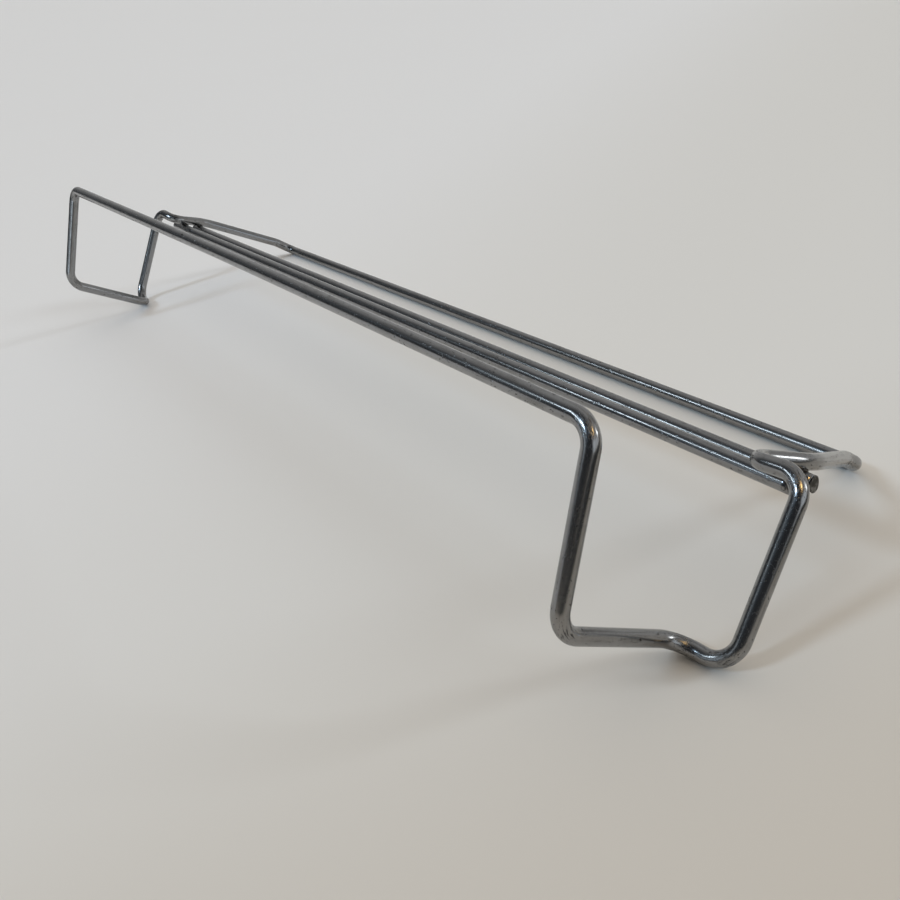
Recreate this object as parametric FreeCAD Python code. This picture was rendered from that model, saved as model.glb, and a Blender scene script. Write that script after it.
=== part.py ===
import FreeCAD, Part

import math
import os

# Wire drying rack: one closed loop of round steel wire bent into a flat top with two
# leg frames, and two straight middle rails spot welded under its cross arms.
#
# Everything is first laid out in the rack's own top plane:
#   X along the rails, Y from the front rail to the rear rail, Z up out of the top,
# with the front rail's bends at Y = 0, Z = 0. The rack's weight is behind its feet, so
# it rests on its two foot bends and its rear rail, and the last step tips it that way.
# All lengths are in millimetres.

wireDia = 5.0
wireRadius = wireDia / 2

# Corners of the right-hand half of the loop, as (x, y, z, bend radius to the centre line).
# A corner is where two straight runs would meet if the wire were not rounded there.
railBend = (206.3, 0.0, 0.0, 6.9)           # front rail turns down into the outer leg
outerFoot = (208.7, 8.4, -52.7, 9.0)        # outer leg turns into the foot wire
footKink = (210.7, 56.6, -54.8, 8.8)        # foot wire steps outwards
innerFoot = (228.3, 57.2, -54.8, 8.9)       # step turns up into the inner leg
shoulderBend = (228.3, 57.4, 0.0, 6.8)      # inner leg turns in over the top
hairpin = (209.0, 60.0, -1.5, 5.5)          # shoulder folds back into the cross arm
armElbow = (215.5, 81.2, 1.3, 21.0)         # cross arm bows gently outwards
armDrop = (202.1, 125.9, 1.7, 9.0)          # cross arm drops to the rear rail
rearBend = (202.9, 137.5, 0.0, 6.5)         # cross arm turns into the rear rail

frontRailBow = 4.7                          # how far the front rail's middle stands in
frontRailBowRadius = 2500.0
frontRailHalf = 190.0                       # where the front rail meets the leg frames
rearRailHalf = 186.0                        # where the rear rail meets the cross arms
shoulderSplit = 0.45                        # where leg frame meets cross arm, along the shoulder

innerRail = (-223.0, 220.5, 68.1)           # left end, right end and Y; welded slightly off centre
outerRail = (-219.5, 220.2, 78.7)

weldSetDown = 0.25                          # how far a middle rail sinks into the cross arm
nuggetRadius = 2.0


def vec(x, y, z):
    return FreeCAD.Vector(x, y, z)


def corner(bend):
    return vec(bend[0], bend[1], bend[2])


def mirrored(point):
    return vec(-point.x, point.y, point.z)


def between(start, end, share):
    return start + (end - start) * share


def bendEdge(before, at, after, radius):
    """Arc of one bend, with the two points where it meets its straight runs."""
    towardsBefore = (before - at).normalize()
    towardsAfter = (after - at).normalize()
    halfAngle = towardsBefore.getAngle(towardsAfter) / 2
    trim = radius / math.tan(halfAngle)
    arcStart = at + towardsBefore * trim
    arcEnd = at + towardsAfter * trim
    inwards = (towardsBefore + towardsAfter).normalize()
    arcMiddle = at + inwards * (radius / math.sin(halfAngle) - radius)
    return Part.Arc(arcStart, arcMiddle, arcEnd).toShape(), arcStart, arcEnd


def bentWire(points, radii):
    """Round wire along straight runs joined by tangent bends, cut square at both ends."""
    edges = []
    runStart = points[0]
    for before, at, after, radius in zip(points, points[1:], points[2:], radii):
        arc, arcStart, arcEnd = bendEdge(before, at, after, radius)
        edges += [Part.LineSegment(runStart, arcStart).toShape(), arc]
        runStart = arcEnd
    edges.append(Part.LineSegment(runStart, points[-1]).toShape())
    path = Part.Wire(edges)
    section = Part.Circle(points[0], points[1] - points[0], wireRadius).toShape()
    solid = path.makePipeShell([Part.Wire(section)], True, True)
    expected = math.pi * wireRadius ** 2 * path.Length
    print("wire length %.1f mm, volume %.4f of section times length" % (path.Length, solid.Volume / expected))
    return solid


def splitPoints():
    """Points on straight runs where one node of the loop ends and the next begins."""
    middle = vec(0, frontRailBow, 0)
    frontShare = frontRailHalf / railBend[0]
    front = between(middle, corner(railBend), frontShare)
    shoulder = between(corner(shoulderBend), corner(hairpin), shoulderSplit)
    rear = vec(rearRailHalf, rearBend[1], rearBend[2])
    return front, shoulder, rear


def frontRail():
    front = splitPoints()[0]
    return bentWire([mirrored(front), vec(0, frontRailBow, 0), front], [frontRailBowRadius])


def rearRail():
    rear = splitPoints()[2]
    return Part.makeCylinder(wireRadius, 2 * rearRailHalf, mirrored(rear), vec(1, 0, 0))


def legFrame():
    front, shoulder, _ = splitPoints()
    bends = [railBend, outerFoot, footKink, innerFoot, shoulderBend]
    points = [front] + [corner(bend) for bend in bends] + [shoulder]
    return bentWire(points, [bend[3] for bend in bends])


def crossArm():
    _, shoulder, rear = splitPoints()
    bends = [hairpin, armElbow, armDrop, rearBend]
    points = [shoulder] + [corner(bend) for bend in bends] + [rear]
    return bentWire(points, [bend[3] for bend in bends])


def armPointAt(y):
    """Where the line from the hairpin to the elbow has a given Y.

    The wire leaves that line by under 0.1 mm in height where the outer rail crosses it.
    """
    start, end = corner(hairpin), corner(armElbow)
    return between(start, end, (y - start.y) / (end.y - start.y))


def railHeight(y):
    return armPointAt(y).z - wireDia + weldSetDown


def middleRail(rail):
    left, right, y = rail
    return Part.makeCylinder(wireRadius, right - left, vec(left, y, railHeight(y)), vec(1, 0, 0))


def crossWelds():
    """One ball of fused metal at each of the four crossings."""
    nuggets = []
    for _, _, y in (innerRail, outerRail):
        onArm = armPointAt(y)
        centre = vec(onArm.x, y, (onArm.z + railHeight(y)) / 2)
        for place in (centre, mirrored(centre)):
            nuggets.append(Part.makeSphere(nuggetRadius, place))
    return Part.makeCompound(nuggets)


def buildRack():
    welds = crossWelds()
    rightLeg, rightArm = legFrame(), crossArm().cut(welds)
    across = vec(1, 0, 0)
    origin = vec(0, 0, 0)
    return {
        "front_rail": frontRail(),
        "rear_rail": rearRail(),
        "right_leg_frame": rightLeg,
        "left_leg_frame": rightLeg.mirror(origin, across),
        "right_cross_arm": rightArm,
        "left_cross_arm": rightArm.mirror(origin, across),
        "inner_middle_rail": middleRail(innerRail).cut(welds),
        "outer_middle_rail": middleRail(outerRail).cut(welds),
        "cross_welds": welds,
    }


def standOnFloor(nodes):
    """Tip the rack onto its foot bends and rear rail, and centre it over the origin."""
    footY = (footKink[1] + innerFoot[1]) / 2
    rise = rearBend[2] - footKink[2]
    tilt = -math.degrees(math.atan2(rise, rearBend[1] - footY))
    for shape in nodes.values():
        shape.rotate(vec(0, 0, 0), vec(1, 0, 0), tilt)
    box = Part.makeCompound(list(nodes.values())).optimalBoundingBox(False, False)
    shift = vec(0, -(box.YMin + box.YMax) / 2, -box.ZMin)
    for shape in nodes.values():
        shape.translate(shift)
    print("tipped %.3f deg, moved %.3f %.3f mm" % (tilt, shift.y, shift.z))
    print("size %.2f x %.2f x %.2f mm" % (box.XLength, box.YLength, box.ZLength))


def main():
    nodes = buildRack()
    standOnFloor(nodes)
    os.makedirs("parts", exist_ok=True)
    for name, shape in nodes.items():
        shape.exportStep("parts/%s.step" % name)
        print(name, "solids", len(shape.Solids), "valid", shape.isValid(), "volume %.2f" % shape.Volume)


main()
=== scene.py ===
import bmesh
import bpy
import math
from mathutils import Matrix, Vector, noise


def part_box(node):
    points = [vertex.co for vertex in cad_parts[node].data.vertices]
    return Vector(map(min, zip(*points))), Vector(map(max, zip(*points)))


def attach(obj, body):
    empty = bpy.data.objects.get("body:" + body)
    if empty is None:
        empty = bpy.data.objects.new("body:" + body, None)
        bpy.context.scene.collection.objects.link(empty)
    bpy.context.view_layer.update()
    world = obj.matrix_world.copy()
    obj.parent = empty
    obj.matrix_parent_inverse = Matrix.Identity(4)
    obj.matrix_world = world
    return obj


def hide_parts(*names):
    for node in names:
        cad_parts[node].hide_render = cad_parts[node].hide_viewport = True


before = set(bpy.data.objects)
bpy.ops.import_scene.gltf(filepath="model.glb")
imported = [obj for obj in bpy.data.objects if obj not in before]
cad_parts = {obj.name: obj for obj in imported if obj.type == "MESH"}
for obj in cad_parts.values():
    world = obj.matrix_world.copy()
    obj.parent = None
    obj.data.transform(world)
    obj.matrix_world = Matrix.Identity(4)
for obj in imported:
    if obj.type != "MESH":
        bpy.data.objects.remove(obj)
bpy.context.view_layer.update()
print("frame loaded:", sorted(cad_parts))

mm = 0.001

cameraSetup = {
    "aim": (0.0484, 0.0061, -0.0209),  # what the middle of the view looks at
    "azimuth": 59.94,   # degrees round from the front, towards the right-hand end
    "elevation": 32.09,
    "roll": -12.68,     # held so that the rack runs downhill to the right
    "distance": 0.3956,
    "lens": 36.14,
    "sensor": 36,
    "clip": 0.01,
}


def addCamera(setup):
    around, up = math.radians(setup["azimuth"]), math.radians(setup["elevation"])
    back = Vector((math.sin(around) * math.cos(up), -math.cos(around) * math.cos(up), math.sin(up)))
    facing = (-back).to_track_quat("-Z", "Y").to_matrix()
    facing = Matrix.Rotation(math.radians(setup["roll"]), 3, back) @ facing
    camera = bpy.data.objects.new("camera", bpy.data.cameras.new("camera"))
    place = Vector(setup["aim"]) + back * setup["distance"]
    camera.matrix_world = Matrix.Translation(place) @ facing.to_4x4()
    camera.data.lens = setup["lens"]
    camera.data.sensor_width = setup["sensor"]
    camera.data.clip_start = setup["clip"]
    bpy.context.scene.collection.objects.link(camera)
    bpy.context.scene.camera = camera


addCamera(cameraSetup)
print("camera placed")


def newGroup(name, inputs, outputs):
    group = bpy.data.node_groups.new(name, "ShaderNodeTree")
    for label, kind, value in inputs:
        socket = group.interface.new_socket(label, in_out="INPUT", socket_type=kind)
        if value is not None:
            socket.default_value = value
    for label, kind in outputs:
        group.interface.new_socket(label, in_out="OUTPUT", socket_type=kind)
    return group, group.nodes.new("NodeGroupInput"), group.nodes.new("NodeGroupOutput")


def setOrLink(tree, socket, value):
    if isinstance(value, bpy.types.NodeSocket):
        tree.links.new(value, socket)
    else:
        socket.default_value = value


def mathNode(tree, operation, *values):
    node = tree.nodes.new("ShaderNodeMath")
    node.operation = operation
    for slot, value in enumerate(values):
        setOrLink(tree, node.inputs[slot], value)
    return node.outputs[0]


def scaled(tree, vector, factors):
    node = tree.nodes.new("ShaderNodeVectorMath")
    node.operation = "MULTIPLY"
    tree.links.new(vector, node.inputs[0])
    node.inputs[1].default_value = factors
    return node.outputs[0]


def noiseAt(tree, vector, detail, roughness, scale=1.0, distortion=0.0):
    node = tree.nodes.new("ShaderNodeTexNoise")
    node.inputs["Scale"].default_value = scale
    node.inputs["Detail"].default_value = detail
    node.inputs["Roughness"].default_value = roughness
    node.inputs["Distortion"].default_value = distortion
    tree.links.new(vector, node.inputs["Vector"])
    return node.outputs["Fac"]


def easeIn(tree, value, start, finish):
    # 0 before start, 1 past finish, and smooth between them
    node = tree.nodes.new("ShaderNodeMapRange")
    node.interpolation_type = "SMOOTHSTEP"
    setOrLink(tree, node.inputs["Value"], value)
    setOrLink(tree, node.inputs["From Min"], start)
    setOrLink(tree, node.inputs["From Max"], finish)
    return node.outputs["Result"]


def mixColour(tree, factor, first, second):
    node = tree.nodes.new("ShaderNodeMix")
    node.data_type = "RGBA"
    for slot, value in ((0, factor), (6, first), (7, second)):  # a colour mix's own sockets
        setOrLink(tree, node.inputs[slot], value)
    return node.outputs[2]


def bumpNode(tree, shader, height, distance):
    bump = tree.nodes.new("ShaderNodeBump")
    bump.inputs["Distance"].default_value = distance
    tree.links.new(height, bump.inputs["Height"])
    tree.links.new(bump.outputs[0], shader.inputs["Normal"])


def wireSpaceGroup():
    # turns a wire's own UV map into millimetres: X along the wire, Y and Z round it
    group, inputs, outputs = newGroup(
        "wireSpace",
        [("Wire UV", "NodeSocketVector", None), ("Radius", "NodeSocketFloat", 2.5)],
        [("Position", "NodeSocketVector")])
    parts = group.nodes.new("ShaderNodeSeparateXYZ")
    group.links.new(inputs.outputs["Wire UV"], parts.inputs[0])
    turn = mathNode(group, "MULTIPLY", parts.outputs["Y"], 2 * math.pi)
    join = group.nodes.new("ShaderNodeCombineXYZ")
    group.links.new(mathNode(group, "DIVIDE", parts.outputs["X"], mm), join.inputs["X"])
    for axis, operation in (("Y", "COSINE"), ("Z", "SINE")):
        side = mathNode(group, operation, turn)
        group.links.new(mathNode(group, "MULTIPLY", side, inputs.outputs["Radius"]), join.inputs[axis])
    group.links.new(join.outputs[0], outputs.inputs["Position"])
    return group


# the noise below is scaled in turns per millimetre: three numbers are along the wire and twice
# across it, and one number is every way. A pair is where a mark starts to show, and shows in full
drawnLinesLook = {
    "fine": (0.04, 2.6, 2.6),
    "broad": (0.02, 1.3, 1.3),
    "streaks": (0.38, 0.66),
}


def drawnLinesGroup(look):
    # fine lines and broader streaks that the drawing die leaves along the wire
    group, inputs, outputs = newGroup(
        "drawnLines",
        [("Position", "NodeSocketVector", None)],
        [("Lines", "NodeSocketFloat"), ("Streaks", "NodeSocketFloat")])
    position = inputs.outputs["Position"]
    fine = noiseAt(group, scaled(group, position, look["fine"]), detail=2, roughness=0.5)
    broad = noiseAt(group, scaled(group, position, look["broad"]), detail=4, roughness=0.55)
    group.links.new(fine, outputs.inputs["Lines"])
    group.links.new(easeIn(group, broad, *look["streaks"]), outputs.inputs["Streaks"])
    return group


platingLook = {
    "clouds": (0.10, 0.35, 0.35),
    "cloudy": (0.35, 0.68),
    "grain": 1.1,
    "pits": (0.825, 1.5, 1.5),
    "fewestPits": 0.80,   # the level of noise that makes a pit when Pits is 0
    "morePits": 0.16,     # and how much lower it is when Pits is 1
    "pitEdge": 0.05,
}


def platingGroup(look):
    # cloudy plating with fine grain and small dark pits
    group, inputs, outputs = newGroup(
        "plating",
        [("Position", "NodeSocketVector", None), ("Pits", "NodeSocketFloat", 0.5)],
        [("Clouds", "NodeSocketFloat"), ("Grain", "NodeSocketFloat"), ("Pits", "NodeSocketFloat")])
    position = inputs.outputs["Position"]
    cloudSpace, pitSpace = scaled(group, position, look["clouds"]), scaled(group, position, look["pits"])
    clouds = noiseAt(group, cloudSpace, detail=5, roughness=0.6, distortion=0.4)
    grain = noiseAt(group, position, scale=look["grain"], detail=3, roughness=0.55)
    spots = noiseAt(group, pitSpace, detail=3, roughness=0.7, distortion=0.6)
    lower = mathNode(group, "MULTIPLY", inputs.outputs["Pits"], look["morePits"])
    limit = mathNode(group, "SUBTRACT", look["fewestPits"], lower)
    upper = mathNode(group, "ADD", limit, look["pitEdge"])
    group.links.new(easeIn(group, clouds, *look["cloudy"]), outputs.inputs["Clouds"])
    group.links.new(grain, outputs.inputs["Grain"])
    group.links.new(easeIn(group, spots, limit, upper), outputs.inputs["Pits"])
    return group


scuffsLook = {
    "slant": (0.0, 0.35, 0.5),
    "marks": (0.42, 3.36, 3.36),
    "fewestMarks": 0.80,  # the level of noise that makes a gouge when Amount is 0
    "moreMarks": 0.30,    # and how much lower it is when Amount is 1
    "markEdge": 0.09,
    "rub": 0.5,
    "rubbed": (0.40, 0.62),
}


def scuffsGroup(look):
    # gouges that the bending tools drag over the wire, at a slant and only where Amount is high
    group, inputs, outputs = newGroup(
        "scuffs",
        [("Position", "NodeSocketVector", None), ("Amount", "NodeSocketFloat", 0.0)],
        [("Scuffs", "NodeSocketFloat"), ("Rub", "NodeSocketFloat")])
    position = inputs.outputs["Position"]
    slanted = group.nodes.new("ShaderNodeMapping")
    slanted.inputs["Rotation"].default_value = look["slant"]
    slanted.inputs["Scale"].default_value = look["marks"]
    group.links.new(position, slanted.inputs["Vector"])
    marks = noiseAt(group, slanted.outputs[0], detail=5, roughness=0.62, distortion=0.5)
    lower = mathNode(group, "MULTIPLY", inputs.outputs["Amount"], look["moreMarks"])
    limit = mathNode(group, "SUBTRACT", look["fewestMarks"], lower)
    upper = mathNode(group, "ADD", limit, look["markEdge"])
    group.links.new(easeIn(group, marks, limit, upper), outputs.inputs["Scuffs"])
    rub = noiseAt(group, position, scale=look["rub"], detail=4, roughness=0.6)
    rub = mathNode(group, "MULTIPLY", easeIn(group, rub, *look["rubbed"]), inputs.outputs["Amount"])
    group.links.new(rub, outputs.inputs["Rub"])
    return group


wireSpace = wireSpaceGroup()
drawnLines = drawnLinesGroup(drawnLinesLook)
plating = platingGroup(platingLook)
scuffs = scuffsGroup(scuffsLook)


def placeGroup(tree, group, values):
    node = tree.nodes.new("ShaderNodeGroup")
    node.node_tree = group
    for label, value in values.items():
        setOrLink(tree, node.inputs[label], value)
    return node.outputs


def newMaterial(name):
    material = bpy.data.materials.new(name)
    material.use_nodes = True
    tree = material.node_tree
    return material, tree, tree.nodes["Principled BSDF"]


def attribute(tree, name):
    node = tree.nodes.new("ShaderNodeAttribute")
    node.attribute_name = name
    return node.outputs["Fac"]


brightWireLook = {
    "clean": (0.300, 0.300, 0.300, 1),
    "dull": (0.205, 0.202, 0.195, 1),
    "rubbed": (0.36, 0.355, 0.345, 1),
    "pit": (0.03, 0.028, 0.025, 1),
    "heat": (0.10, 0.085, 0.07, 1),
    "pits": 1.15,
    "rubShare": 0.5,       # how strongly each mark's colour covers what is under it
    "heatShare": 0.85,
    "scuffShare": 0.75,
    "roughness": 0.20,
    "dullRoughness": 0.29,
    "lineRoughness": 0.08,
    "heatRoughness": 0.25,
    "scuffRoughness": 0.25,
    "pitRoughness": 0.4,
    "relief": 0.004 * mm,  # height of the drawn lines and grain together
    "lineHeight": 0.6,     # the rest are shares of the relief
    "grainHeight": 0.4,
    "scuffDepth": 5.0,
    "pitDepth": 4.0,
}


def brightWireMaterial(look):
    material, tree, shader = newMaterial("brightWire")
    uv = tree.nodes.new("ShaderNodeUVMap")
    uv.uv_map = "wire"
    position = placeGroup(tree, wireSpace, {"Wire UV": uv.outputs[0]})["Position"]
    lines = placeGroup(tree, drawnLines, {"Position": position})
    coat = placeGroup(tree, plating, {"Position": position, "Pits": look["pits"]})
    bend, heat = attribute(tree, "bend"), attribute(tree, "heat")
    marks = placeGroup(tree, scuffs, {"Position": position, "Amount": bend})
    dullness = mathNode(tree, "MULTIPLY", coat["Clouds"], lines["Streaks"])
    base = mixColour(tree, dullness, look["clean"], look["dull"])
    for mask, share, colour in (
            (marks["Rub"], look["rubShare"], look["rubbed"]),
            (heat, look["heatShare"], look["heat"]),
            (marks["Scuffs"], look["scuffShare"], look["pit"])):
        base = mixColour(tree, mathNode(tree, "MULTIPLY", mask, share), base, colour)
    base = mixColour(tree, coat["Pits"], base, look["pit"])
    tree.links.new(base, shader.inputs["Base Color"])
    # the lines make the wire rougher and smoother by equal shares, so it starts half their share lower
    rough = look["roughness"] - look["lineRoughness"] / 2
    height = 0.0
    for mask, roughness, rise in (
            (dullness, look["dullRoughness"] - look["roughness"], 0),
            (lines["Lines"], look["lineRoughness"], look["lineHeight"]),
            (coat["Grain"], 0, look["grainHeight"]),
            (heat, look["heatRoughness"], 0),
            (marks["Scuffs"], look["scuffRoughness"], -look["scuffDepth"]),
            (coat["Pits"], look["pitRoughness"], -look["pitDepth"])):
        if roughness:
            rough = mathNode(tree, "MULTIPLY_ADD", mask, roughness, rough)
        if rise:
            height = mathNode(tree, "MULTIPLY_ADD", mask, rise, height)
    tree.links.new(rough, shader.inputs["Roughness"])
    bumpNode(tree, shader, height, look["relief"])
    shader.inputs["Metallic"].default_value = 1.0
    return material


shearedEndLook = {
    "smooth": (0.20, 0.195, 0.185, 1),
    "torn": (0.075, 0.07, 0.062, 1),
    "roughness": 0.42,
    "tornRoughness": 0.67,
    "tornScale": 420.0,   # turns of noise per metre
    "tornEdge": (0.42, 0.56),
    "grainScale": 1900.0,
    "relief": 0.08 * mm,
}


def shearedEndMaterial(look):
    # a shear leaves smooth patches and torn, darker ones
    material, tree, shader = newMaterial("shearedEnd")
    place = tree.nodes.new("ShaderNodeTexCoord").outputs["Object"]
    torn = noiseAt(tree, place, scale=look["tornScale"], detail=3, roughness=0.6)
    torn = easeIn(tree, torn, *look["tornEdge"])
    tree.links.new(mixColour(tree, torn, look["smooth"], look["torn"]), shader.inputs["Base Color"])
    rougher = look["tornRoughness"] - look["roughness"]
    rough = mathNode(tree, "MULTIPLY_ADD", torn, rougher, look["roughness"])
    tree.links.new(rough, shader.inputs["Roughness"])
    grain = noiseAt(tree, place, scale=look["grainScale"], detail=5, roughness=0.7)
    bumpNode(tree, shader, grain, look["relief"])
    shader.inputs["Metallic"].default_value = 1.0
    return material


weldSteelLook = {
    "burnt": (0.055, 0.048, 0.042, 1),
    "bare": (0.17, 0.16, 0.15, 1),
    "roughness": 0.48,
    "burntRoughness": 0.68,
    "burntScale": 900.0,  # turns of noise per metre
    "burntEdge": (0.40, 0.62),
    "grainScale": 2200.0,
    "relief": 0.06 * mm,
}


def weldSteelMaterial(look):
    material, tree, shader = newMaterial("weldSteel")
    place = tree.nodes.new("ShaderNodeTexCoord").outputs["Object"]
    burnt = noiseAt(tree, place, scale=look["burntScale"], detail=4, roughness=0.6, distortion=0.3)
    burnt = easeIn(tree, burnt, *look["burntEdge"])
    tree.links.new(mixColour(tree, burnt, look["bare"], look["burnt"]), shader.inputs["Base Color"])
    rougher = look["burntRoughness"] - look["roughness"]
    rough = mathNode(tree, "MULTIPLY_ADD", burnt, rougher, look["roughness"])
    tree.links.new(rough, shader.inputs["Roughness"])
    grain = noiseAt(tree, place, scale=look["grainScale"], detail=5, roughness=0.65)
    bumpNode(tree, shader, grain, look["relief"])
    shader.inputs["Metallic"].default_value = 1.0
    return material


# the floor's tone changes along two slopes: each is a share of X, a share of Y, and where on
# that slope, in metres, the tone starts and finishes. The side and near tones are painted shade
# and painted warm lamp light: the floor gets darker and warmer towards the camera and the right
floorLook = {
    "far": (0.821, 0.810, 0.799, 1),
    "side": (0.751, 0.731, 0.694, 1),
    "near": (0.631, 0.575, 0.500, 1),
    "sideSlope": (1.0, 0.4, -0.25, 0.15),
    "nearSlope": (1.0, -0.3, 0.11, 0.35),
    "roughness": 0.9,
    "shine": 0.1,
    "size": 30,
}


def floorMaterial(look):
    material, tree, shader = newMaterial("paperFloor")
    parts = tree.nodes.new("ShaderNodeSeparateXYZ")
    tree.links.new(tree.nodes.new("ShaderNodeTexCoord").outputs["Object"], parts.inputs[0])
    # the side and near tones paint shade and warm lamp light onto the floor, darker and warmer towards
    # the camera and the right
    tone = look["far"]
    for label, slope in (("side", look["sideSlope"]), ("near", look["nearSlope"])):
        across = mathNode(tree, "MULTIPLY", parts.outputs["Y"], slope[1])
        across = mathNode(tree, "MULTIPLY_ADD", parts.outputs["X"], slope[0], across)
        tone = mixColour(tree, easeIn(tree, across, *slope[2:]), tone, look[label])
    tree.links.new(tone, shader.inputs["Base Color"])
    shader.inputs["Roughness"].default_value = look["roughness"]
    shader.inputs["Specular IOR Level"].default_value = look["shine"]
    return material


brightWire = brightWireMaterial(brightWireLook)
shearedEnd = shearedEndMaterial(shearedEndLook)
weldSteel = weldSteelMaterial(weldSteelLook)
print("materials made")


class WireTube:
    # a round wire that grows ring by ring, and remembers where each ring is along it
    hardBend = 9 * mm    # a bend of this radius or less has the full marks of the bending tool
    fewestSteps = 4      # in a bend

    def __init__(self, start, direction, radius, sides):
        self.bm = bmesh.new()
        self.radius = radius
        self.sides = sides
        numbers, vectors = self.bm.verts.layers.float, self.bm.verts.layers.float_vector
        self.along, self.around = numbers.new("along"), numbers.new("around")
        self.bend, self.heat = numbers.new("bend"), numbers.new("heat")
        self.hub, self.inward = vectors.new("hub"), vectors.new("inward")
        turn = direction.to_track_quat("Z", "Y").to_matrix().to_4x4()
        made = bmesh.ops.create_circle(
            self.bm, segments=sides, radius=radius, matrix=Matrix.Translation(start) @ turn)
        self.ring = made["verts"]
        for step, vert in enumerate(self.ring):
            vert[self.around] = step
            vert[self.hub] = start
        self.edges = list(self.bm.edges)
        self.firstRing, self.firstEdges = self.ring, self.edges
        self.tip = Vector(start)
        self.length = 0.0

    def adopt(self, geometry, step):
        self.ring = [item for item in geometry if isinstance(item, bmesh.types.BMVert)]
        inRing = set(self.ring)
        self.edges = [item for item in geometry if isinstance(item, bmesh.types.BMEdge)
                      and item.verts[0] in inRing and item.verts[1] in inRing]
        self.length += step

    def remember(self, bend, inward):
        centre = sum((vert.co for vert in self.ring), Vector()) / len(self.ring)
        for vert in self.ring:
            vert[self.along] = self.length
            vert[self.bend] = bend
            vert[self.hub] = centre
            vert[self.inward] = inward

    def straight(self, end, pitch):
        run = end - self.tip
        steps = max(1, math.ceil(run.length / pitch))
        for _ in range(steps):
            made = bmesh.ops.extrude_edge_only(self.bm, edges=self.edges)["geom"]
            self.adopt(made, run.length / steps)
            bmesh.ops.translate(self.bm, verts=self.ring, vec=run / steps)
            self.remember(0.0, Vector())
        self.tip = end.copy()

    def turn(self, centre, axis, angle, radius, pitch):
        steps = max(self.fewestSteps, math.ceil(abs(angle) * radius / pitch))
        sharp = min(1.0, self.hardBend / radius)
        for step in range(1, steps + 1):
            made = bmesh.ops.spin(
                self.bm, geom=self.ring + self.edges, cent=centre, axis=axis,
                angle=angle / steps, steps=1, use_merge=False, use_duplicate=False)["geom_last"]
            self.adopt(made, abs(angle) * radius / steps)
            self.tip = Matrix.Rotation(angle / steps, 3, axis) @ (self.tip - centre) + centre
            inward = (centre - self.tip).normalized()
            self.remember(sharp * math.sin(math.pi * step / steps), inward)


def filletBend(before, at, after, radius):
    towardsBefore = (before - at).normalized()
    towardsAfter = (after - at).normalized()
    half = towardsBefore.angle(towardsAfter) / 2
    trim = radius / math.tan(half)
    centre = at + (towardsBefore + towardsAfter).normalized() * (radius / math.sin(half))
    axis = (-towardsBefore).cross(towardsAfter).normalized()
    return at + towardsBefore * trim, centre, axis, math.pi - 2 * half


def pressBends(tube, press):
    # a bend stretches and flattens the outer side of the wire a little
    for vert in tube.bm.verts:
        inward = vert[tube.inward]
        out = -(vert.co - vert[tube.hub]).dot(inward)
        if out > 0:
            vert.co += inward * (press * vert[tube.bend] * out)


def addHeat(tube, spots, reach):
    # the scorched patch round each weld, which fades over the reach
    for vert in tube.bm.verts:
        distance = min((vert.co - spot).length for spot in spots)
        vert[tube.heat] = math.exp(-(distance / reach) ** 2)


def writeUv(tube, mirroredHalf):
    # metres along the wire, and turns round it
    uvLayer = tube.bm.loops.layers.uv.new("wire")
    for face in tube.bm.faces:
        steps = [loop.vert[tube.around] for loop in face.loops]
        wraps = max(steps) - min(steps) > tube.sides / 2
        flip = -1 if mirroredHalf and face.calc_center_median().x < 0 else 1
        for loop, step in zip(face.loops, steps):
            if wraps and step < tube.sides / 2:
                step += tube.sides
            loop[uvLayer].uv = (flip * loop.vert[tube.along], step / tube.sides)


def dropGuides(tube):
    for layer in (tube.hub, tube.inward):
        tube.bm.verts.layers.float_vector.remove(layer)


def finishPiece(bm, name, materials):
    mesh = bpy.data.meshes.new(name)
    bmesh.ops.recalc_face_normals(bm, faces=bm.faces)
    bm.to_mesh(mesh)
    bm.free()
    mesh.shade_smooth()
    for material in materials:
        mesh.materials.append(material)
    piece = bpy.data.objects.new(name, mesh)
    bpy.context.scene.collection.objects.link(piece)
    return piece


# corners of the right-hand half of the loop in the rack's own top plane, in millimetres,
# with the radius of each bend
mainWire = {
    "radius": 2.5,
    "bow": 4.7,          # how far in the front rail's two straight runs would meet
    "bowRadius": 2500.0,
    "corners": [
        (206.3, 0.0, 0.0, 6.9),       # front rail to outer leg
        (208.7, 8.4, -52.7, 9.0),     # outer leg to foot wire
        (210.7, 56.6, -54.8, 8.8),    # foot wire steps outwards
        (228.3, 57.2, -54.8, 8.9),    # step to inner leg
        (228.3, 57.4, 0.0, 6.8),      # inner leg to shoulder
        (209.0, 60.0, -1.5, 5.5),     # hairpin
        (215.5, 81.2, 1.3, 21.0),     # cross arm bows out
        (202.1, 125.9, 1.7, 9.0),     # cross arm drops
        (202.9, 137.5, 0.0, 6.5),     # cross arm to rear rail
    ],
    "foot": (2, 3),      # the corners of the step that stands on the floor
    "hairpin": 5,
    "sides": 48,
    "pitch": 3.0,
    "bendPitch": 0.7,
    "press": 0.055,      # how much thinner a bend's outer half gets, as a share
    "heatReach": 5.5,
}


def rackToRow():
    # the rack stands tipped on its foot bends and rear rail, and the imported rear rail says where
    corners = mainWire["corners"]
    first, second = (corners[number] for number in mainWire["foot"])
    rear = corners[-1]
    tilt = -math.atan2(rear[2] - first[2], rear[1] - (first[1] + second[1]) / 2)
    turn = Matrix.Rotation(tilt, 4, "X")
    low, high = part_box("rear_rail")
    rearRail = (Vector(low) + Vector(high)) / 2
    return Matrix.Translation(rearRail - turn @ (Vector((0, rear[1], rear[2])) * mm)) @ turn


placing = rackToRow()


def inRow(x, y, z):
    return placing @ (Vector((x, y, z)) * mm)


def railAxis(node):
    low, high = Vector(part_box(node)[0]), Vector(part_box(node)[1])
    middle = (low + high) / 2
    return Vector((low.x, middle.y, middle.z)), Vector((high.x, middle.y, middle.z))


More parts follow.
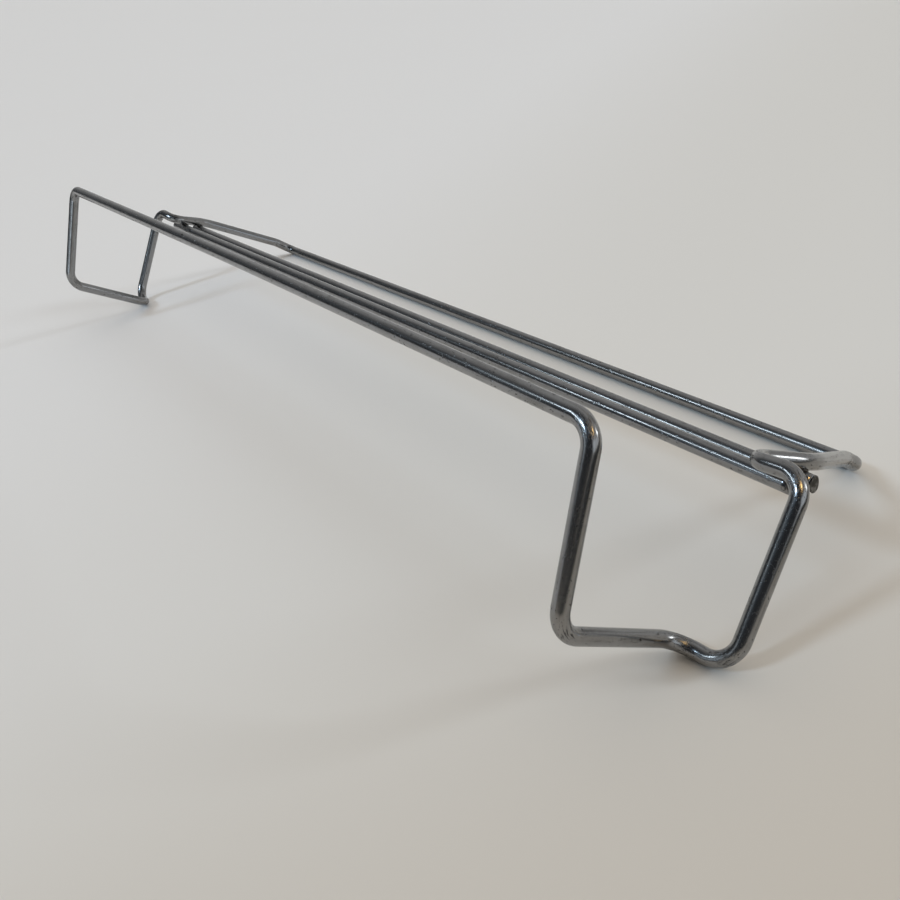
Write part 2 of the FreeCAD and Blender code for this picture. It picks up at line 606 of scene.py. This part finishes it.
def weldSpots(node):
    # where a middle rail touches the two cross arms, worked out from the arm's first run
    start, end = (Vector(mainWire["corners"][mainWire["hairpin"] + step][:3]) for step in (0, 1))
    rail = placing.inverted() @ railAxis(node)[0] / mm
    onArm = start + (end - start) * ((rail.y - start.y) / (end.y - start.y))
    height = (onArm.z + rail.z) / 2
    return [inRow(side * onArm.x, rail.y, height) for side in (1, -1)]


weldCentres = weldSpots("inner_middle_rail") + weldSpots("outer_middle_rail")


def buildMainWire(wire):
    corners = wire["corners"]
    rear = corners[-1]
    # the front rail is bowed by one very wide bend at its middle, which both halves share,
    # so the right-hand half starts at the crown of that bend
    crownAngle = math.atan2(wire["bow"], corners[0][0])
    crown = wire["bow"] - wire["bowRadius"] * (1 / math.cos(crownAngle) - 1)
    centre = inRow(0, crown - wire["bowRadius"], 0)
    tube = WireTube(inRow(0, crown, 0), Vector((1, 0, 0)), wire["radius"] * mm, wire["sides"])
    across = (placing.to_3x3() @ Vector((0, 0, -1))).normalized()
    tube.turn(centre, across, crownAngle, wire["bowRadius"] * mm, wire["pitch"] * mm)
    for vert in tube.bm.verts:
        vert[tube.bend] = 0.0    # no tool has marked the bow
    points = [inRow(*corner[:3]) for corner in corners]
    points = [tube.tip.copy()] + points + [inRow(0, rear[1], rear[2])]
    radii = [corner[3] * mm for corner in corners]
    for before, at, after, radius in zip(points, points[1:], points[2:], radii):
        arcStart, centre, axis, angle = filletBend(before, at, after, radius)
        tube.straight(arcStart, wire["pitch"] * mm)
        tube.turn(centre, axis, angle, radius, wire["bendPitch"] * mm)
    tube.straight(points[-1], wire["pitch"] * mm)
    pressBends(tube, wire["press"])
    bm = tube.bm
    for vert in tube.firstRing + tube.ring:
        vert.co.x = 0
    bmesh.ops.mirror(bm, geom=bm.verts[:] + bm.edges[:] + bm.faces[:], merge_dist=0.001 * mm, axis="X")
    addHeat(tube, weldCentres, wire["heatReach"] * mm)
    writeUv(tube, True)
    dropGuides(tube)
    return finishPiece(bm, "mainWire", [brightWire])


mainWirePiece = buildMainWire(mainWire)
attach(mainWirePiece, "root")
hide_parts("front_rail", "rear_rail", "right_leg_frame", "left_leg_frame",
            "right_cross_arm", "left_cross_arm")
print("main wire bent:", len(mainWirePiece.data.polygons), "faces")

# each rail has two leans, left end first: a lean points to the side of the wire that the
# shear's blade came down on
middleRails = {
    "radius": 2.5,
    "sides": 48,
    "pitch": 3.0,
    "heatReach": 5.5,
    "slope": 0.10,       # how far the cut leans, as a slope
    "roll": 0.35,        # rounding of the blade side, in millimetres
    "rollFrom": 0.8,     # where that rounding starts, as a share of the radius
    "tear": 0.10,        # depth of the torn grain, in millimetres
    "tearScale": 900,    # turns of noise per metre
    "smoothTear": 0.4,   # share of the tear that is left on the blade side
    "capShares": (1, 0.97, 0.93, 0.86, 0.72, 0.56, 0.40, 0.24, 0.10),  # rings of the cut face
    "rails": {
        "inner_middle_rail": {"name": "innerMiddleRail", "leans": ((0, 0.3, 1), (0, -0.4, 1))},
        "outer_middle_rail": {"name": "outerMiddleRail", "leans": ((0, -0.5, 1), (0, 0.8, 0.6))},
    },
}


def shearEnd(tube, ring, edges, end, outwards, lean, cut):
    # closes one end with a leaning cut: rounded where the blade came in, torn where it left
    bm, radius = tube.bm, tube.radius
    rollFrom, calm = cut["rollFrom"], cut["smoothTear"]
    centre = sum((vert.co for vert in ring), Vector()) / len(ring)
    lean = Vector(lean).normalized()
    for share in cut["capShares"]:
        made = bmesh.ops.extrude_edge_only(bm, edges=edges)["geom"]
        newRing = [item for item in made if isinstance(item, bmesh.types.BMVert)]
        inRing = set(newRing)
        edges = [item for item in made if isinstance(item, bmesh.types.BMEdge)
                 and item.verts[0] in inRing and item.verts[1] in inRing]
        for vert, rim in zip(newRing, ring):
            side = (rim.co - centre) / radius
            height = side.dot(lean)
            inset = cut["slope"] * radius * (1 + height * share)
            rolled = cut["roll"] * mm * max(0.0, height) * max(0.0, share - rollFrom) / (1 - rollFrom)
            grain = noise.noise((end + side * share * radius) * cut["tearScale"]) * cut["tear"] * mm
            grain *= calm + (1 - calm) * (1 - height) / 2
            vert.co = end + side * share * radius - outwards * max(0.0, inset + rolled + grain)
            vert[tube.around] = rim[tube.around]
            vert[tube.along] = rim[tube.along]
        if share == cut["capShares"][0]:
            plainFaces = set(bm.faces)    # the wire's own side, up to the rim of the cut
    middle = sum((vert.co for vert in newRing), Vector()) / len(newRing)
    bmesh.ops.pointmerge(bm, verts=newRing, merge_co=middle)
    for face in set(bm.faces) - plainFaces:
        face.material_index = 1


def buildMiddleRail(node, rail, cut):
    left, right = railAxis(node)
    tube = WireTube(left, Vector((1, 0, 0)), cut["radius"] * mm, cut["sides"])
    tube.straight(right, cut["pitch"] * mm)
    # the rims of the cut are set back by up to the lean, so the first and last rings move in
    reach = (2 * cut["slope"] * cut["radius"] + cut["roll"] + cut["tear"]) * mm
    bmesh.ops.translate(tube.bm, verts=tube.firstRing, vec=(reach, 0, 0))
    bmesh.ops.translate(tube.bm, verts=tube.ring, vec=(-reach, 0, 0))
    for ring, edges, end, outwards, lean in (
            (tube.firstRing, tube.firstEdges, left, Vector((-1, 0, 0)), rail["leans"][0]),
            (tube.ring, tube.edges, right, Vector((1, 0, 0)), rail["leans"][1])):
        shearEnd(tube, ring, edges, end, outwards, lean, cut)
    addHeat(tube, weldCentres, cut["heatReach"] * mm)
    writeUv(tube, False)
    dropGuides(tube)
    return finishPiece(tube.bm, rail["name"], [brightWire, shearedEnd])


for node, rail in middleRails["rails"].items():
    piece = buildMiddleRail(node, rail, middleRails)
    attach(piece, "root")
    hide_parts(node)
    print("middle rail cut:", rail["name"], len(piece.data.polygons), "faces")

weldBeads = {
    "halfWidth": 2.05,   # a bead is a lens of squeezed-out metal, in millimetres
    "halfHeight": 1.0,
    "ripple": 0.16,
    "rippleScale": 1.6,
    "splash": 0.10,
    "splashScale": 5,
    "levels": 5,
}


def buildWelds(beads):
    bm = bmesh.new()
    lie = placing.to_3x3()
    for number, spot in enumerate(weldCentres):    # each takes its own part of the noise
        made = bmesh.ops.create_icosphere(bm, subdivisions=beads["levels"], radius=1.0)["verts"]
        for vert in made:
            wave = noise.noise(vert.co * beads["rippleScale"] + Vector((7 * number, 0, 0)))
            drops = noise.noise(vert.co * beads["splashScale"] + Vector((0, 3 * number, 0)))
            size = (1 + beads["ripple"] * wave + beads["splash"] * drops) * mm
            shape = Vector((beads["halfWidth"], beads["halfWidth"], beads["halfHeight"])) * size
            vert.co = spot + lie @ (vert.co * shape)
    return finishPiece(bm, "crossWelds", [weldSteel])


weldPiece = buildWelds(weldBeads)
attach(weldPiece, "root")
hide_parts("cross_welds")
print("welds set:", len(weldPiece.data.polygons), "faces")


def addFloor():
    bm = bmesh.new()
    bmesh.ops.create_grid(bm, x_segments=1, y_segments=1, size=floorLook["size"])
    floor = finishPiece(bm, "floor", [floorMaterial(floorLook)])


# each light is placed by the direction it shines from: degrees round from +X, and degrees up
suns = {
    "window": {"from": (252, 44), "angle": 10, "strength": 0.82, "colour": (0.60, 0.79, 1.0)},
    "rightWindow": {"from": (52, 22), "angle": 13, "strength": 0.90, "colour": (0.78, 0.89, 1.0),
                    "mirrored": False},
    "ceiling": {"from": (150, 72), "angle": 110, "strength": 1.16, "colour": (1.0, 0.885, 0.74),
                "mirrored": False},
}
sunDistance = 3.0    # a sun shines the same from any distance
# bright cards that only the wires mirror: the last three each face one end of the rack, and
# their spread, in degrees, narrows the beam to it
cards = {
    "highCard": {"from": (236, 37), "distance": 2.0, "size": (1.0, 0.15),
                 "glow": 10.0, "colour": (0.76, 0.89, 1.0)},
    "lowCard": {"from": (252, 17), "distance": 1.5, "size": (0.42, 0.45),
                "glow": 0.60, "colour": (0.80, 0.91, 1.0)},
    "farCard": {"aim": (-0.215, -0.03, 0.03), "from": (298, 10), "distance": 0.3, "size": (0.32, 0.13),
                "glow": 0.12, "colour": (0.80, 0.91, 1.0), "spread": 50},
    "sideCard": {"aim": (0.21, 0, 0.03), "from": (52, 16), "distance": 1.0, "size": (0.22, 0.32),
                 "glow": 0.26, "colour": (0.93, 0.97, 1.0), "spread": 36},
    "goldCard": {"aim": (0.21, 0, 0.03), "from": (5, 54), "distance": 0.35, "size": (0.075, 0.075),
                 "glow": 0.75, "colour": (1.0, 0.64, 0.25), "spread": 50},
}
room = {
    "seen": (0.60, 0.60, 0.59, 1),
    "dark": (0.040, 0.043, 0.048, 1),
    "rear": (0.47, 0.47, 0.47, 1),
    "rearLean": -0.25,             # share of X that is added to Y
    "rearEdge": (-0.25, 0.6),      # and where on that sum the rear tone starts and finishes
    "haze": (0.80, 0.86, 0.92, 1),  # a pale wall, low down off the rack's right-hand end
    "hazeTop": (0.62, 0.42),       # where it starts and finishes coming in, as shares of +Z
    "hazeSide": (0.70, 0.85),      # of +X
    "hazeFront": (-0.45, -0.20),   # and of +Y
}
# off the rack's right-hand end the wires mirror this sheet and not the pale floor
flag = {
    "start": 0.34,
    "size": (1.2, 2.4),
    "height": 0.0004,
    "tone": (0.02, 0.02, 0.02, 1),
    "roughness": 0.9,
}


def lightDirection(light):
    around, up = (math.radians(angle) for angle in light["from"])
    return Vector((math.cos(around) * math.cos(up), math.sin(around) * math.cos(up), math.sin(up)))


def placeLight(name, data, light, distance):
    towards = lightDirection(light)
    place = Vector(light.get("aim", (0, 0, 0))) + towards * distance
    lamp = bpy.data.objects.new(name, data)
    lamp.matrix_world = Matrix.Translation(place) @ towards.to_track_quat("Z", "Y").to_matrix().to_4x4()
    lamp.visible_camera = False
    lamp.visible_glossy = light.get("mirrored", True)
    bpy.context.scene.collection.objects.link(lamp)
    return lamp


def addLights():
    for name, light in suns.items():
        data = bpy.data.lights.new(name, "SUN")
        data.energy, data.color = light["strength"], light["colour"]
        data.angle = math.radians(light["angle"])
        placeLight(name, data, light, sunDistance)
    for name, light in cards.items():
        data = bpy.data.lights.new(name, "AREA")
        data.shape = "RECTANGLE"
        data.size, data.size_y = light["size"]
        data.color = light["colour"]
        data.spread = math.radians(light.get("spread", 180))
        data.energy = light["glow"] * math.pi * data.size * data.size_y
        placeLight(name, data, light, light["distance"]).visible_diffuse = False


def addFlag():
    # a dark sheet that lies on the floor and only shows in reflections
    bm = bmesh.new()
    bmesh.ops.create_grid(bm, x_segments=1, y_segments=1, size=0.5)
    width, depth = flag["size"]
    bmesh.ops.scale(bm, verts=bm.verts, vec=(width, depth, 1))
    bmesh.ops.translate(bm, verts=bm.verts, vec=(flag["start"] + width / 2, 0, flag["height"]))
    material, _, shader = newMaterial("blackFlag")
    shader.inputs["Base Color"].default_value = flag["tone"]
    shader.inputs["Roughness"].default_value = flag["roughness"]
    sheet = finishPiece(bm, "blackFlag", [material])
    sheet.visible_camera = sheet.visible_diffuse = sheet.visible_shadow = False


def addRoom():
    # the wires mirror a dim room with a pale rear and a pale wall, and the camera sees an even tone
    world = bpy.data.worlds.new("room")
    world.use_nodes = True
    tree = world.node_tree
    parts = tree.nodes.new("ShaderNodeSeparateXYZ")
    tree.links.new(tree.nodes.new("ShaderNodeTexCoord").outputs["Generated"], parts.inputs[0])
    haze = 1.0
    for axis, ends in (("Z", room["hazeTop"]), ("X", room["hazeSide"]), ("Y", room["hazeFront"])):
        haze = mathNode(tree, "MULTIPLY", easeIn(tree, parts.outputs[axis], *ends), haze)
    across = mathNode(tree, "MULTIPLY_ADD", parts.outputs["X"], room["rearLean"], parts.outputs["Y"])
    rear = easeIn(tree, across, *room["rearEdge"])
    mirrored = mixColour(tree, haze, mixColour(tree, rear, room["dark"], room["rear"]), room["haze"])
    path = tree.nodes.new("ShaderNodeLightPath")
    tone = mixColour(tree, path.outputs["Is Camera Ray"], mirrored, room["seen"])
    tree.links.new(tone, tree.nodes["Background"].inputs["Color"])
    bpy.context.scene.world = world


addFloor()
addFlag()
addLights()
addRoom()
bpy.context.scene.view_settings.view_transform = "Standard"
print("floor and lights set")
